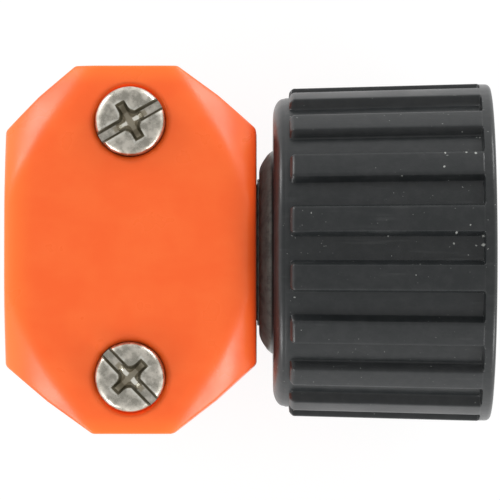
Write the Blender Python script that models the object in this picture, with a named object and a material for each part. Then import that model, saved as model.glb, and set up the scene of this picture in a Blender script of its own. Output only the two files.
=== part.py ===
"""Hose mender with a two-half screw clamp and a female swivel nut.

The hose axis runs along X and the clamp screws run along Z. The origin is the middle of the
mender's box, on the hose axis. All sizes are in metres. A hose is pushed over the barbed stem
from the clamp's mouth, at the low X end, and the two clamp halves squeeze it onto the barbs.
The swivel nut at the high X end screws onto a tap or another fitting.
"""

import math

import bmesh
import bpy
from mathutils import Vector

# Clearances
SEAT_GAP = 0.0003
GROOVE_PLAY = 0.00025
BARB_PASS_GAP = 0.00015
FLANGE_PLAY = 0.0006
HEAD_PLAY = 0.0005

# Clamp halves
CLAMP_LENGTH = 0.0258
HOSE_SPACE_RADIUS = 0.0104
CROWN_WALL = 0.0041
CROWN_RADIUS = 0.060
SCREW_SIDE_LAND = 0.0059
END_WALL = 0.0022
CORNER_CUT_LENGTH = 0.0083
CORNER_CUT_WIDTH = 0.0070
CORNER_FACE_DROP = 0.0032
CORNER_FACE_SLOPE = math.radians(45.0)
CORNER_BLEND_RADIUS = 0.0040
END_EDGE_ROUND = 0.0012
SPOT_FACE_DEPTH = 0.0010
MOUTH_FLARE = 0.0005
GRIP_RIDGE_HEIGHT = 0.0005
GRIP_RIDGE_WIDTH = 0.0011

# Barbed stem
WATER_WAY_RADIUS = 0.0058
BARB_RADIUS = 0.0080
BARB_DEPTH = 0.0008
BARB_PITCH = 0.0033
BARB_CREST = 0.00033
BARB_BACK = 0.00033
STEM_TIP_RADIUS = 0.0069
STEM_TIP_TAPER = 0.0012
STEM_SET_BACK = 0.0008
NECK_RADIUS = 0.00765
STEM_COLLAR_LENGTH = 0.0012
GROOVE_DEPTH = 0.0006
FLANGE_THICKNESS = 0.0025
FLANGE_EDGE_CHAMFER = 0.0003

# Swivel nut
CLAMP_TO_NUT = 0.0005
NUT_LENGTH = 0.02255
THREAD_BORE_RADIUS = 0.0126
NUT_WALL = 0.0035
NUT_REAR_WALL = 0.0028
BOSS_WALL = 0.0025
BOSS_HEIGHT = 0.00125
BOSS_DOME_START = math.radians(-60.0)
NUT_HOLE_CHAMFER = 0.0003
GRIP_RIB_COUNT = 18
GRIP_RIB_HEIGHT = 0.0010
RIB_LAND_ANGLE = math.radians(9.0)
RIB_FLANK_ANGLE = math.radians(1.6)
RIB_EDGE_ROUND = 0.00025
RIB_START = 0.0016
RIB_NOSE_LENGTH = 0.0002
RIB_NOSE_HEIGHT = 0.00065
RIB_RUN_IN = 0.0008
NUT_TAPER = 0.0005
COLLAR_LENGTH = 0.0014
REAR_EDGE_ROUND = 0.0007
RIM_EDGE_ROUND = 0.0005
THREAD_LEAD_IN = 0.0008

# Hose washer
WASHER_THICKNESS = 0.0030
WASHER_HOLE_RADIUS = 0.0080
WASHER_EDGE_ROUND = 0.0003

# Screws and square nuts
SCREW_RADIUS = 0.00175
SCREW_WALL = 0.00055
SCREW_PAST_NUT = 0.0025
SCREW_POINT_CHAMFER = 0.0005
HEAD_RADIUS = 0.00355
HEAD_HEIGHT = 0.0024
HEAD_RIM_HEIGHT = 0.0011
HEAD_FOOT_CHAMFER = 0.00028
SLOT_WIDTH = 0.0013
SLOT_DEPTH = 0.0010
CROSS_SPAN = 0.0038
CROSS_ARM_WIDTH = 0.0011
CROSS_DEPTH = 0.0016
CROSS_BOTTOM_SHARE = 0.5
SQUARE_NUT_WIDTH = 0.0079
SQUARE_NUT_THICKNESS = 0.0028
SQUARE_NUT_CORNER_CHAMFER = 0.0004
POCKET_WALL = 0.0009
SCREW_SLOT_ANGLES = {"upper": math.radians(30.0), "lower": math.radians(-46.0)}

# Mesh fineness
CROWN_STEPS = 12
END_ROUND_STEPS = 3
CORNER_BLEND_STEPS = 4
ROUND_STEPS = 40
HOSE_SPACE_STEPS = 48
FASTENER_STEPS = 24

# Places along the hose axis, from the clamp's mouth to the nut's rim
total_length = CLAMP_LENGTH + CLAMP_TO_NUT + BOSS_HEIGHT + NUT_LENGTH
mouth_x = -total_length / 2
clamp_end_x = mouth_x + CLAMP_LENGTH
clamp_middle_x = mouth_x + CLAMP_LENGTH / 2
end_wall_x = clamp_end_x - END_WALL
boss_x = clamp_end_x + CLAMP_TO_NUT
nut_rear_x = boss_x + BOSS_HEIGHT
nut_seat_x = nut_rear_x + NUT_REAR_WALL
flange_rear_x = nut_seat_x + SEAT_GAP
flange_front_x = flange_rear_x + FLANGE_THICKNESS
washer_rear_x = flange_front_x + SEAT_GAP
stem_tip_x = mouth_x + STEM_SET_BACK
groove_rear_x = end_wall_x - GROOVE_PLAY
groove_front_x = clamp_end_x + GROOVE_PLAY
barb_start_x = stem_tip_x + STEM_TIP_TAPER
barb_count = int((groove_rear_x - STEM_COLLAR_LENGTH - barb_start_x) / BARB_PITCH)
barb_end_x = barb_start_x + barb_count * BARB_PITCH

# Sizes that follow from the ones above
groove_radius = NECK_RADIUS - GROOVE_DEPTH
nut_hole_radius = max(BARB_RADIUS + BARB_PASS_GAP, NECK_RADIUS + SEAT_GAP)
screw_hole_radius = SCREW_RADIUS + SEAT_GAP
screw_y = HOSE_SPACE_RADIUS + SCREW_WALL + screw_hole_radius
clamp_half_width = screw_y + SCREW_SIDE_LAND
crown_top_z = HOSE_SPACE_RADIUS + CROWN_WALL
spot_face_radius = HEAD_RADIUS + HEAD_PLAY
pocket_half_width = SQUARE_NUT_WIDTH / 2 + SEAT_GAP
parting_z = SEAT_GAP / 2


def crown_height(y):
    """Height of the crowned back over the hose axis, at a distance y from the middle."""
    return crown_top_z - CROWN_RADIUS + math.sqrt(CROWN_RADIUS ** 2 - y ** 2)


spot_face_z = crown_height(screw_y) - SPOT_FACE_DEPTH
head_seat_z = spot_face_z + SEAT_GAP
pocket_seat_z = -math.sqrt((HOSE_SPACE_RADIUS + POCKET_WALL) ** 2 - (screw_y - pocket_half_width) ** 2)
square_nut_top_z = pocket_seat_z - SEAT_GAP
screw_tip_z = square_nut_top_z - SQUARE_NUT_THICKNESS - SCREW_PAST_NUT
past_all = 4 * CROWN_WALL


def clear_scene():
    """Remove whatever the scene holds."""
    for item in list(bpy.data.objects):
        bpy.data.objects.remove(item, do_unlink=True)


def make_material(name, colour, roughness, metallic=0.0):
    """Plain Principled material with the piece's own colour."""
    material = bpy.data.materials.new(name)
    material.use_nodes = True
    shader = material.node_tree.nodes["Principled BSDF"]
    shader.inputs["Base Color"].default_value = (*colour, 1.0)
    shader.inputs["Roughness"].default_value = roughness
    shader.inputs["Metallic"].default_value = metallic
    return material


def add_piece(name, mesh, material, parent, location=(0.0, 0.0, 0.0), turn=(0.0, 0.0, 0.0)):
    """Add a named piece to the scene, shaded smooth apart from its real edges."""
    mesh.shade_smooth()
    mesh.set_sharp_from_angle(angle=math.radians(32.0))
    mesh.materials.append(material)
    piece = bpy.data.objects.new(name, mesh)
    bpy.context.scene.collection.objects.link(piece)
    piece.location = location
    piece.rotation_euler = turn
    piece.parent = parent
    return piece


def add_cutter(name, mesh, location=(0.0, 0.0, 0.0), turn=(0.0, 0.0, 0.0), parent=None):
    """Add a shape that only cuts others: it shows as wire and is never rendered."""
    cutter = bpy.data.objects.new(name, mesh)
    bpy.context.scene.collection.objects.link(cutter)
    cutter.location = location
    cutter.rotation_euler = turn
    cutter.parent = parent
    cutter.hide_render = True
    cutter.display_type = "WIRE"
    return cutter


def cut(piece, cutter):
    """Cut one shape out of a piece."""
    modifier = piece.modifiers.new(cutter.name, "BOOLEAN")
    modifier.operation = "DIFFERENCE"
    modifier.solver = "EXACT"
    modifier.object = cutter


def finish_mesh(shape, name):
    """Turn a worked shape into a mesh with its faces pointing out."""
    bmesh.ops.recalc_face_normals(shape, faces=shape.faces)
    mesh = bpy.data.meshes.new(name)
    shape.to_mesh(mesh)
    shape.free()
    return mesh


def turned(name, outline, steps):
    """Turn an outline of (radius, height) points round the local Z axis.

    An outline that starts and ends on the axis gives a solid, and any other is closed on itself
    and gives a ring.
    """
    shape = bmesh.new()
    points = [shape.verts.new((radius, 0.0, height)) for radius, height in outline]
    edges = [shape.edges.new(pair) for pair in zip(points, points[1:])]
    if outline[0][0] > 0.0:
        edges.append(shape.edges.new((points[-1], points[0])))
    bmesh.ops.spin(
        shape,
        geom=points + edges,
        cent=(0.0, 0.0, 0.0),
        axis=(0.0, 0.0, 1.0),
        angle=2 * math.pi,
        steps=steps,
        use_merge=True,
    )
    bmesh.ops.remove_doubles(shape, verts=shape.verts, dist=0.000001)
    return finish_mesh(shape, name)


def prism(name, outline, low_z, high_z, high_scale=1.0):
    """Extrude a flat outline from low_z to high_z, tapering it to high_scale."""
    shape = bmesh.new()
    low = [shape.verts.new((x, y, low_z)) for x, y in outline]
    high = [shape.verts.new((x * high_scale, y * high_scale, high_z)) for x, y in outline]
    shape.faces.new(low)
    shape.faces.new(high)
    for index in range(len(outline)):
        after = (index + 1) % len(outline)
        shape.faces.new((low[index], low[after], high[after], high[index]))
    return finish_mesh(shape, name)


def arc(centre, radius, start, end, steps):
    """Points of an arc in the (radius, height) plane, angles measured from the radius direction."""
    points = []
    for step in range(steps + 1):
        angle = start + (end - start) * step / steps
        points.append((centre[0] + radius * math.cos(angle), centre[1] + radius * math.sin(angle)))
    return points


def trim(shape, point, normal):
    """Cut away what lies past a plane and close the cut."""
    geometry = shape.verts[:] + shape.edges[:] + shape.faces[:]
    result = bmesh.ops.bisect_plane(
        shape, geom=geometry, dist=0.0000001, plane_co=point, plane_no=normal, clear_outer=True
    )
    edges = [item for item in result["geom_cut"] if isinstance(item, bmesh.types.BMEdge)]
    bmesh.ops.edgeloop_fill(shape, edges=edges)


def clamp_sections():
    """Places along the clamp with how far its ends' rounded edge has dropped the crown there."""
    half_length = CLAMP_LENGTH / 2
    rounded = []
    for step in range(END_ROUND_STEPS + 1):
        angle = step / END_ROUND_STEPS * math.pi / 2
        inward = END_EDGE_ROUND * (1.0 - math.cos(angle))
        rounded.append((half_length - inward, END_EDGE_ROUND * (1.0 - math.sin(angle))))
    return [(-x, drop) for x, drop in rounded] + rounded[::-1]


def corner_planes():
    """Planes of a corner's sloped face and of the blend between it and the crown.

    Each is (distance in from the corner's upright face, height, slope). The blend's planes touch
    an arc that meets the crown above the middle of the corner.
    """
    lean = CORNER_CUT_LENGTH / math.hypot(CORNER_CUT_LENGTH, CORNER_CUT_WIDTH)
    corner_z = crown_top_z - CORNER_FACE_DROP
    inward = 0.0
    for _ in range(12):
        y = clamp_half_width - CORNER_CUT_WIDTH / 2 - inward * lean
        inward = (crown_height(y) - corner_z) / math.tan(CORNER_FACE_SLOPE)
    crown_slope = math.asin(y / CROWN_RADIUS) * lean
    middle_slope = (CORNER_FACE_SLOPE + crown_slope) / 2
    reach = CORNER_BLEND_RADIUS / math.cos((CORNER_FACE_SLOPE - crown_slope) / 2)
    centre_in = inward + reach * math.sin(middle_slope)
    centre_z = corner_z + inward * math.tan(CORNER_FACE_SLOPE) - reach * math.cos(middle_slope)
    planes = []
    for step in range(CORNER_BLEND_STEPS):
        slope = CORNER_FACE_SLOPE + (crown_slope - CORNER_FACE_SLOPE) * step / CORNER_BLEND_STEPS
        plane_in = centre_in - CORNER_BLEND_RADIUS * math.sin(slope)
        plane_z = centre_z + CORNER_BLEND_RADIUS * math.cos(slope)
        planes.append((plane_in, plane_z, slope))
    return planes


def clamp_half_mesh(name):
    """Octagonal block with a crowned back and sloped corner faces, over the parting plane.

    Its middle is the local origin. Crown sections are lofted along the hose, lower at the rounded
    ends, and then the corners are trimmed off.
    """
    shape = bmesh.new()
    loops = []
    for x, drop in clamp_sections():
        loop = [shape.verts.new((x, -clamp_half_width, parting_z))]
        for step in range(CROWN_STEPS + 1):
            y = clamp_half_width * (2 * step / CROWN_STEPS - 1)
            loop.append(shape.verts.new((x, y, crown_height(y) - drop)))
        loop.append(shape.verts.new((x, clamp_half_width, parting_z)))
        loops.append(loop)
    shape.faces.new(loops[0])
    shape.faces.new(loops[-1])
    for loop, following in zip(loops, loops[1:]):
        for index in range(len(loop)):
            after = (index + 1) % len(loop)
            shape.faces.new((loop[index], loop[after], following[after], following[index]))
    bmesh.ops.recalc_face_normals(shape, faces=shape.faces)

    up = Vector((0.0, 0.0, 1.0))
    for x_side in (-1, 1):
        for y_side in (-1, 1):
            outward = Vector((x_side * CORNER_CUT_WIDTH, y_side * CORNER_CUT_LENGTH, 0.0)).normalized()
            foot = Vector((
                x_side * (CLAMP_LENGTH - CORNER_CUT_LENGTH) / 2,
                y_side * (clamp_half_width - CORNER_CUT_WIDTH / 2),
                0.0,
            ))
            trim(shape, foot, outward)
            for inward, height, slope in corner_planes():
                point = foot - outward * inward + up * height
                trim(shape, point, outward * math.sin(slope) + up * math.cos(slope))
    return finish_mesh(shape, name)


def hose_space_mesh():
    """Hollow of the closed clamp: flared mouth, ridged hose space and the end wall's hole."""
    outline = [(0.0, mouth_x - CROWN_WALL)]
    outline.append((HOSE_SPACE_RADIUS + MOUTH_FLARE, mouth_x - CROWN_WALL))
    outline.append((HOSE_SPACE_RADIUS + MOUTH_FLARE, mouth_x))
    outline.append((HOSE_SPACE_RADIUS, mouth_x + MOUTH_FLARE))
    for index in range(barb_count):
        middle = barb_start_x + index * BARB_PITCH
        if middle - GRIP_RIDGE_WIDTH < mouth_x + MOUTH_FLARE or middle + GRIP_RIDGE_WIDTH > end_wall_x:
            continue
        outline.append((HOSE_SPACE_RADIUS, middle - GRIP_RIDGE_WIDTH / 2))
        outline.append((HOSE_SPACE_RADIUS - GRIP_RIDGE_HEIGHT, middle))
        outline.append((HOSE_SPACE_RADIUS, middle + GRIP_RIDGE_WIDTH / 2))
    outline.append((HOSE_SPACE_RADIUS, end_wall_x))
    outline.append((groove_radius + SEAT_GAP, end_wall_x))
    outline.append((groove_radius + SEAT_GAP, clamp_end_x + CROWN_WALL))
    outline.append((0.0, clamp_end_x + CROWN_WALL))
    return turned("hose_space", outline, HOSE_SPACE_STEPS)


def front_screw_hole_mesh():
    """Spot face for the screw's head, with the screw's hole through it."""
    outline = [
        (0.0, spot_face_z + past_all),
        (spot_face_radius, spot_face_z + past_all),
        (spot_face_radius, spot_face_z),
        (screw_hole_radius, spot_face_z),
        (screw_hole_radius, -past_all),
        (0.0, -past_all),
    ]
    return turned("front_screw_hole", outline, FASTENER_STEPS)


def plain_screw_hole_mesh():
    """Plain hole for the screw's shank, through the rear half and the square nut."""
    outline = [
        (0.0, past_all),
        (screw_hole_radius, past_all),
        (screw_hole_radius, -past_all),
        (0.0, -past_all),
    ]
    return turned("plain_screw_hole", outline, FASTENER_STEPS)


def nut_pocket_mesh():
    """Square pocket, open at the clamp's back, that keeps the nut from turning."""
    half = pocket_half_width
    outline = [(-half, -half), (half, -half), (half, half), (-half, half)]
    return prism("nut_pocket", outline, pocket_seat_z - past_all, pocket_seat_z)


def stem_mesh():
    """Turned outline of the stem: tapered tip, barbs, clamp groove, neck, flange and water way."""
    barb_root = BARB_RADIUS - BARB_DEPTH
    outline = [(WATER_WAY_RADIUS, stem_tip_x), (STEM_TIP_RADIUS, stem_tip_x)]
    for index in range(barb_count):
        start = barb_start_x + index * BARB_PITCH
        outline.append((barb_root, start))
        outline.append((BARB_RADIUS, start + BARB_PITCH - BARB_BACK - BARB_CREST))
        outline.append((BARB_RADIUS, start + BARB_PITCH - BARB_BACK))
    outline.append((barb_root, barb_end_x))
    outline.append((NECK_RADIUS, barb_end_x + NECK_RADIUS - barb_root))
    outline.append((NECK_RADIUS, groove_rear_x))
    outline.append((groove_radius, groove_rear_x))
    outline.append((groove_radius, groove_front_x))
    outline.append((NECK_RADIUS, groove_front_x))
    outline.append((NECK_RADIUS, flange_rear_x))
    flange_radius = THREAD_BORE_RADIUS - FLANGE_PLAY
    outline.append((flange_radius - FLANGE_EDGE_CHAMFER, flange_rear_x))
    outline.append((flange_radius, flange_rear_x + FLANGE_EDGE_CHAMFER))
    outline.append((flange_radius, flange_front_x))
    outline.append((WATER_WAY_RADIUS, flange_front_x))
    return turned("barbed_stem", outline, ROUND_STEPS)


def washer_mesh():
    """Plain rubber ring with slightly rounded edges, from its rear face at height zero."""
    outer = THREAD_BORE_RADIUS - SEAT_GAP
    rounding = WASHER_EDGE_ROUND
    outline = [
        (WASHER_HOLE_RADIUS, 0.0),
        (outer - rounding, 0.0),
        (outer, rounding),
        (outer, WASHER_THICKNESS - rounding),
        (outer - rounding, WASHER_THICKNESS),
        (WASHER_HOLE_RADIUS, WASHER_THICKNESS),
    ]
    return turned("hose_washer", outline, ROUND_STEPS)


def rib_angles():
    """Angles round the nut with the rise of the rib there, from 0 in a groove to 1 on a land."""
    pitch = 2 * math.pi / GRIP_RIB_COUNT
    edge = 1.0 - RIB_EDGE_ROUND / GRIP_RIB_HEIGHT
    half_land = RIB_LAND_ANGLE / 2
    round_angle = RIB_FLANK_ANGLE / 2
    steps = (
        (-half_land - RIB_FLANK_ANGLE, 0.0),
        (-half_land - round_angle / 2, edge),
        (-half_land + round_angle, 1.0),
        (half_land - round_angle, 1.0),
        (half_land + round_angle / 2, edge),
        (half_land + RIB_FLANK_ANGLE, 0.0),
    )
    pattern = []
    for rib in range(GRIP_RIB_COUNT):
        middle = (rib + 0.5) * pitch
        for offset, rise in steps:
            pattern.append((middle + offset, rise))
    return pattern


def swivel_nut_mesh():
    """Nut skin, ring by ring from the boss round the outside and back through the bore.

    Each ring is (height, radius, rib rise), and the rise is scaled by the rib's outline, so the
    grooves die out on the rear shoulder and stop square against the collar.
    """
    rear = nut_rear_x - boss_x
    rim = rear + NUT_LENGTH
    shoulder = THREAD_BORE_RADIUS + NUT_WALL
    collar_start = rim - COLLAR_LENGTH
    collar_radius = shoulder + NUT_TAPER + GRIP_RIB_HEIGHT
    boss_radius = nut_hole_radius + BOSS_WALL
    seat = nut_seat_x - boss_x

    rings = [(0.0, nut_hole_radius + NUT_HOLE_CHAMFER, 0.0)]
    for radius, height in arc((boss_radius - rear, rear), rear, BOSS_DOME_START, 0.0, 3):
        rings.append((height, radius, 0.0))
    corner = (shoulder - REAR_EDGE_ROUND, rear + REAR_EDGE_ROUND)
    for radius, height in arc(corner, REAR_EDGE_ROUND, -math.pi / 2, 0.0, 3):
        rings.append((height, radius, 0.0))
    rings.append((rear + RIB_START, shoulder, 0.0))
    rings.append((rear + RIB_START + RIB_NOSE_LENGTH, shoulder, RIB_NOSE_HEIGHT))
    rings.append((rear + RIB_START + RIB_RUN_IN, shoulder, GRIP_RIB_HEIGHT))
    rings.append((collar_start, shoulder + NUT_TAPER, GRIP_RIB_HEIGHT))
    rings.append((collar_start + RIB_EDGE_ROUND, collar_radius, 0.0))
    corner = (collar_radius - RIM_EDGE_ROUND, rim - RIM_EDGE_ROUND)
    for radius, height in arc(corner, RIM_EDGE_ROUND, 0.0, math.pi / 2, 2):
        rings.append((height, radius, 0.0))
    rings.append((rim, THREAD_BORE_RADIUS + THREAD_LEAD_IN, 0.0))
    rings.append((rim - THREAD_LEAD_IN, THREAD_BORE_RADIUS, 0.0))
    rings.append((seat, THREAD_BORE_RADIUS, 0.0))
    rings.append((seat, nut_hole_radius, 0.0))
    rings.append((NUT_HOLE_CHAMFER, nut_hole_radius, 0.0))

    pattern = rib_angles()
    shape = bmesh.new()
    loops = []
    for height, radius, rise in rings:
        loop = []
        for angle, share in pattern:
            reach = radius + rise * share
            loop.append(shape.verts.new((reach * math.cos(angle), reach * math.sin(angle), height)))
        loops.append(loop)
    for loop, following in zip(loops, loops[1:] + loops[:1]):
        for index in range(len(pattern)):
            after = (index + 1) % len(pattern)
            shape.faces.new((loop[index], loop[after], following[after], following[index]))
    return finish_mesh(shape, "swivel_nut")


def screw_mesh():
    """Pan head with a domed edge over a plain shank; the head's seat is at height zero."""
    length = head_seat_z - screw_tip_z
    dome = HEAD_HEIGHT - HEAD_RIM_HEIGHT
    outline = [(0.0, HEAD_HEIGHT)]
    outline.extend(arc((HEAD_RADIUS - dome, HEAD_RIM_HEIGHT), dome, math.pi / 2, 0.0, 3))
    outline.append((HEAD_RADIUS, HEAD_FOOT_CHAMFER))
    outline.append((HEAD_RADIUS - HEAD_FOOT_CHAMFER, 0.0))
    outline.append((SCREW_RADIUS, 0.0))
    outline.append((SCREW_RADIUS, SCREW_POINT_CHAMFER - length))
    outline.append((SCREW_RADIUS - SCREW_POINT_CHAMFER, -length))
    outline.append((0.0, -length))
    return turned("clamp_screw", outline, FASTENER_STEPS)


def slot_mesh():
    """Bar that cuts the screw head's straight slot."""
    half_width = SLOT_WIDTH / 2
    half_length = 2 * HEAD_RADIUS
    outline = [
        (-half_length, -half_width),
        (half_length, -half_width),
        (half_length, half_width),
        (-half_length, half_width),
    ]
    return prism("screw_slot", outline, HEAD_HEIGHT - SLOT_DEPTH, 2 * HEAD_HEIGHT)


def cross_mesh():
    """Tapered cross that cuts the head's recess: full size at the head's top, smaller below."""
    arm = CROSS_SPAN / 2 * CROSS_BOTTOM_SHARE
    side = CROSS_ARM_WIDTH / 2 * CROSS_BOTTOM_SHARE
    quarter = [(arm, -side), (arm, side), (side, side)]
    outline = []
    for turn in range(4):
        cosine = round(math.cos(turn * math.pi / 2))
        sine = round(math.sin(turn * math.pi / 2))
        for x, y in quarter:
            outline.append((x * cosine - y * sine, x * sine + y * cosine))
    low = HEAD_HEIGHT - CROSS_DEPTH
    high = HEAD_HEIGHT + CROSS_DEPTH
    return prism("screw_cross", outline, low, high, 2.0 / CROSS_BOTTOM_SHARE - 1.0)


def square_nut_mesh():
    """Square blank with its corners cut, from its top face at height zero down."""
    half = SQUARE_NUT_WIDTH / 2
    cut_in = half - SQUARE_NUT_CORNER_CHAMFER
    outline = []
    for x_side, y_side in ((1, 1), (-1, 1), (-1, -1), (1, -1)):
        first = (x_side * half, y_side * cut_in)
        second = (x_side * cut_in, y_side * half)
        outline.extend((first, second) if x_side == y_side else (second, first))
    return prism("square_nut", outline, -SQUARE_NUT_THICKNESS, 0.0)


def add_screw_set(side, steel, parent, front_half, rear_half):
    """One clamp screw with its hole in both halves, and the square nut in its pocket."""
    y = screw_y if side == "upper" else -screw_y
    on_axis = (clamp_middle_x, y, 0.0)
    front_hole = add_cutter(side + "_front_hole", front_screw_hole_mesh(), on_axis)
    plain_hole = add_cutter(side + "_plain_hole", plain_screw_hole_mesh(), on_axis)
    pocket = add_cutter(side + "_nut_pocket", nut_pocket_mesh(), on_axis)
    cut(front_half, front_hole)
    cut(rear_half, plain_hole)
    cut(rear_half, pocket)

    turn = (0.0, 0.0, SCREW_SLOT_ANGLES[side])
    screw_place = (clamp_middle_x, y, head_seat_z)
    screw = add_piece(side + "_screw", screw_mesh(), steel, parent, screw_place, turn)
    cut(screw, add_cutter(side + "_slot", slot_mesh(), parent=screw))
    cut(screw, add_cutter(side + "_cross", cross_mesh(), parent=screw))

    nut_place = (clamp_middle_x, y, square_nut_top_z)
    nut = add_piece(side + "_square_nut", square_nut_mesh(), steel, parent, nut_place)
    cut(nut, plain_hole)


clear_scene()
orange_plastic = make_material("orange_plastic", (0.93, 0.17, 0.05), 0.38)
black_plastic = make_material("black_plastic", (0.025, 0.026, 0.028), 0.42)
black_rubber = make_material("black_rubber", (0.02, 0.02, 0.02), 0.7)
plated_steel = make_material("plated_steel", (0.55, 0.54, 0.50), 0.35, 1.0)

along_x = (0.0, math.pi / 2, 0.0)
mender = bpy.data.objects.new("mender", None)
bpy.context.scene.collection.objects.link(mender)

halves = []
for half_name, half_turn in (("front_clamp_half", 0.0), ("rear_clamp_half", math.pi)):
    half_mesh = clamp_half_mesh(half_name)
    half_place = (clamp_middle_x, 0.0, 0.0)
    halves.append(add_piece(half_name, half_mesh, orange_plastic, mender, half_place, (half_turn, 0.0, 0.0)))
front_clamp_half, rear_clamp_half = halves
hose_space = add_cutter("hose_space", hose_space_mesh(), turn=along_x)
cut(front_clamp_half, hose_space)
cut(rear_clamp_half, hose_space)
for screw_side in ("upper", "lower"):
    add_screw_set(screw_side, plated_steel, mender, front_clamp_half, rear_clamp_half)

add_piece("barbed_stem", stem_mesh(), black_plastic, mender, turn=along_x)
add_piece("swivel_nut", swivel_nut_mesh(), black_plastic, mender, (boss_x, 0.0, 0.0), along_x)
add_piece("hose_washer", washer_mesh(), black_rubber, mender, (washer_rear_x, 0.0, 0.0), along_x)
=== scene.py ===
import math

import bmesh
import bpy
import numpy as np
from mathutils import Matrix, Vector
from mathutils.geometry import delaunay_2d_cdt


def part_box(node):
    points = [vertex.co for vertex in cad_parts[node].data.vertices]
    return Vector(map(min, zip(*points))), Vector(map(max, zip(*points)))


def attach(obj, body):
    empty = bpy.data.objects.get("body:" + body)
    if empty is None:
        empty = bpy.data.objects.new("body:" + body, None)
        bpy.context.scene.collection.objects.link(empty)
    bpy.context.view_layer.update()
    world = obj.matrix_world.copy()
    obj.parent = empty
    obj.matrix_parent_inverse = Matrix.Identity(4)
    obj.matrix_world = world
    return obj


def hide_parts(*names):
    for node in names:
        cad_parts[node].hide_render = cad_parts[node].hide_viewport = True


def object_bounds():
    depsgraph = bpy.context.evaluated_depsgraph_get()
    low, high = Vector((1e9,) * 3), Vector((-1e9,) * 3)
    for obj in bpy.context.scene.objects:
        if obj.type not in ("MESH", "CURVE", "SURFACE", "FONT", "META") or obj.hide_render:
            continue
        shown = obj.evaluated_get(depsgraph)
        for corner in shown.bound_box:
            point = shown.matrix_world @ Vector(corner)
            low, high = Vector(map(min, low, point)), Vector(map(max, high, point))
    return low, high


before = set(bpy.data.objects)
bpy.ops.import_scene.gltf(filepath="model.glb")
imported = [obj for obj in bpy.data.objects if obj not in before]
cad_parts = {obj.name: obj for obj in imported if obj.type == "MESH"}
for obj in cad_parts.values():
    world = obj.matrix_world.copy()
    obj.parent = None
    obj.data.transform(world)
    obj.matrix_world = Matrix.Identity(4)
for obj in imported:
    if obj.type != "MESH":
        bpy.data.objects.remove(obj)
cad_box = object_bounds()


# Clamp halves
# Two like halves of orange satin plastic, injection moulded, close over the hose and the barbed
# stem. The front half has a round spot face for each screw's head and the rear one a square
# pocket for each nut. Their crowned backs fall away at four sloped corners.
front_low, front_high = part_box("front_clamp_half")
screw_low, screw_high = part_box("upper_screw")
clamp_middle = (front_low.x + front_high.x) / 2
half_length = (front_high.x - front_low.x) / 2
half_width = front_high.y
crown_top = front_high.z
parting = front_low.z
screw_y = (screw_low.y + screw_high.y) / 2

CROWN_RADIUS = 0.060
# Each corner by its sides in X and Y: its cut's length and width in plan, then how far from the
# middle the sloped face's crease meets the long side and the end.
FRONT_CORNERS = {
    (1, 1): (0.0081, 0.0064, 0.0041, 0.0047),
    (-1, 1): (0.0072, 0.0067, 0.0039, 0.0053),
    (-1, -1): (0.0090, 0.0070, 0.0037, 0.0051),
    (1, -1): (0.0086, 0.0072, 0.0037, 0.0041),
}
CORNER_BULGE = 0.00022
CORNER_SLOPE = 0.55
CORNER_CURVE = 36.0
END_ROUND_LENGTH = 0.0038
MOUTH_ROUND_DEPTH = 0.0014
NUT_END_ROUND_DEPTH = 0.0019
UPRIGHT_ROUND = 0.0008
EDGE_ROUND = 0.0002
FOOT_ROUND = 0.00012
SIDE_DRAFT = 0.00008
CREASE_SOFTNESS = 0.0008
SPOT_FACE_RADIUS = 0.00361
SPOT_FACE_RIM = 0.00062
SPOT_FACE_Z = 0.01207
POCKET_HALF = 0.00425
POCKET_FLOOR_Z = 0.00715
POCKET_RIM = 0.0003
RECESS_DRAFT = 0.00004
RECESS_FOOT = 0.00010
HOSE_RADIUS = 0.0104
GROOVE_HOLE_RADIUS = 0.00735
END_WALL = 0.0022
MOUTH_FLARE = 0.0005
BARB_PITCH = 0.0033
FIRST_RIDGE_X = -0.02305
RIDGE_HEIGHT = 0.0005
RIDGE_WIDTH = 0.0011
SCREW_HOLE_RADIUS = 0.00205
FACE_GRID = 0.00045
EDGE_RING_INSETS = (
    0.0, 0.00002, 0.00006, 0.00013, 0.00022, 0.00035, 0.00055, 0.0008, 0.00105, 0.0013, 0.0017,
)
RIM_RING_SHARES = (1.9, 1.4, 1.0, 0.75, 0.5, 0.25, 0.08, 0.0)
RIM_DROP = 0.85
POCKET_CORNER_RADIUS = 0.0003
OUTLINE_ARC_STEPS = 6
ROUND_RECESS_STEPS = 20
POCKET_CORNER_STEPS = 8
HOSE_SPACE_STEPS = 120
SCREW_HOLE_STEPS = 56
OVERCUT = 0.002
WELD_DISTANCE = 0.0000015


def crown(y):
    """Height of the crowned back at a distance y from the hose axis."""
    return crown_top - CROWN_RADIUS + np.sqrt(CROWN_RADIUS ** 2 - y ** 2)


def back_height(cuts, x, y):
    """Height of a clamp half's outside, x from the clamp's middle: crown, ends and corners."""
    flat_half = half_length - END_ROUND_LENGTH
    into_round = np.clip((np.abs(x) - flat_half) / END_ROUND_LENGTH, 0.0, 1.0)
    depth = np.where(x < 0.0, MOUTH_ROUND_DEPTH, NUT_END_ROUND_DEPTH)
    height = crown(y) - depth * (1 - np.sqrt(1 - into_round ** 2))
    for (x_side, y_side), (_, _, crease_x, crease_y) in cuts.items():
        run, rise = half_length - crease_x, half_width - crease_y
        outward = np.array([x_side * rise, y_side * run]) / math.hypot(run, rise)
        beyond = (x - x_side * half_length) * outward[0] + (y - y_side * crease_y) * outward[1]
        nearness = np.maximum(CREASE_SOFTNESS - np.abs(beyond), 0.0)
        beyond = np.maximum(beyond, 0.0) + nearness ** 2 / (4 * CREASE_SOFTNESS)
        height = height - beyond * (CORNER_SLOPE + CORNER_CURVE * beyond)
    return height


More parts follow.
